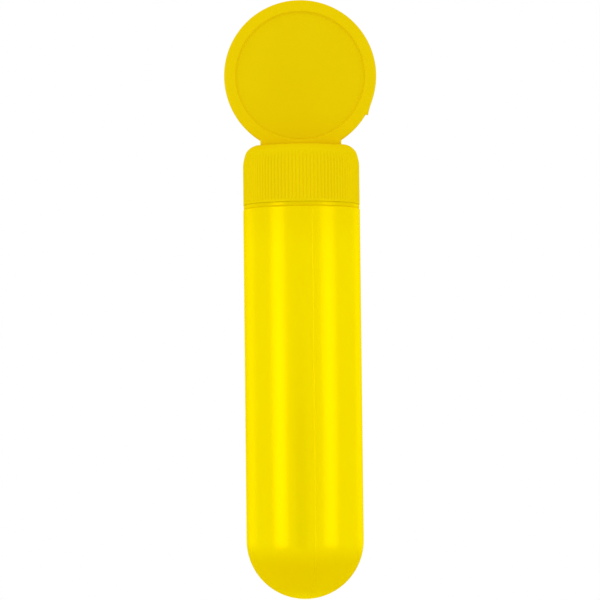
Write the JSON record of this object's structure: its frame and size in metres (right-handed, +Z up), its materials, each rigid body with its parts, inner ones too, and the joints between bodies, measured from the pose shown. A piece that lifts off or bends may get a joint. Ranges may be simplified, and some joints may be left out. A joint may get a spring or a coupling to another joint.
{
  "type": "bubble blower",
  "caption": "Round-ended tube bottle for soap solution with a ribbed screw cap, a round grip disc on the cap, and a toothed-ring dipping wand that hangs from the cap inside the bottle.",
  "frame": {"origin": "lowest point of the bottle's round end, on the bottle's axis", "axes": "+Z up along the bottle's axis towards the cap; the grip disc lies in the XZ plane and the face in the picture looks along -Y, with +X to its right"},
  "size_m": [0.0382, 0.0292, 0.1496],
  "materials": {
    "glossy_bottle": "blown polypropylene, glossy, slightly translucent yellow",
    "matt_cap": "moulded polypropylene, satin yellow, fine grip ribs",
    "matt_disc": "moulded polypropylene, satin yellow, finely textured sunk panel",
    "matt_wand": "moulded polypropylene, satin yellow",
    "soft_liner": "soft foamed polyethylene, off-white"
  },
  "bodies": {
    "bottle": {"bottle": "glossy_bottle"},
    "seal": {"sealing_ring": "soft_liner"},
    "wand": {"wand": "matt_wand"},
    "cap": {"screw_cap": "matt_cap", "grip_disc": "matt_disc"}
  },
  "joints": [
    {"name": "closure_lift", "type": "slide", "parent": "bottle", "child": "seal", "axis": [0, 0, 1], "range_m": [0, 0.11]},
    {"name": "cap_rise", "type": "slide", "parent": "seal", "child": "wand", "axis": [0, 0, 1], "range_m": [0, 0.0045]},
    {"name": "cap_turn", "type": "hinge", "parent": "wand", "child": "cap", "pos_m": [0, 0, 0.09815], "axis": [0, 0, 1], "range_deg": [0, 540]}
  ],
  "couplings": [
    {"joint": "cap_rise", "follows": "cap_turn", "m_per_rad": 0.00047746}
  ]
}
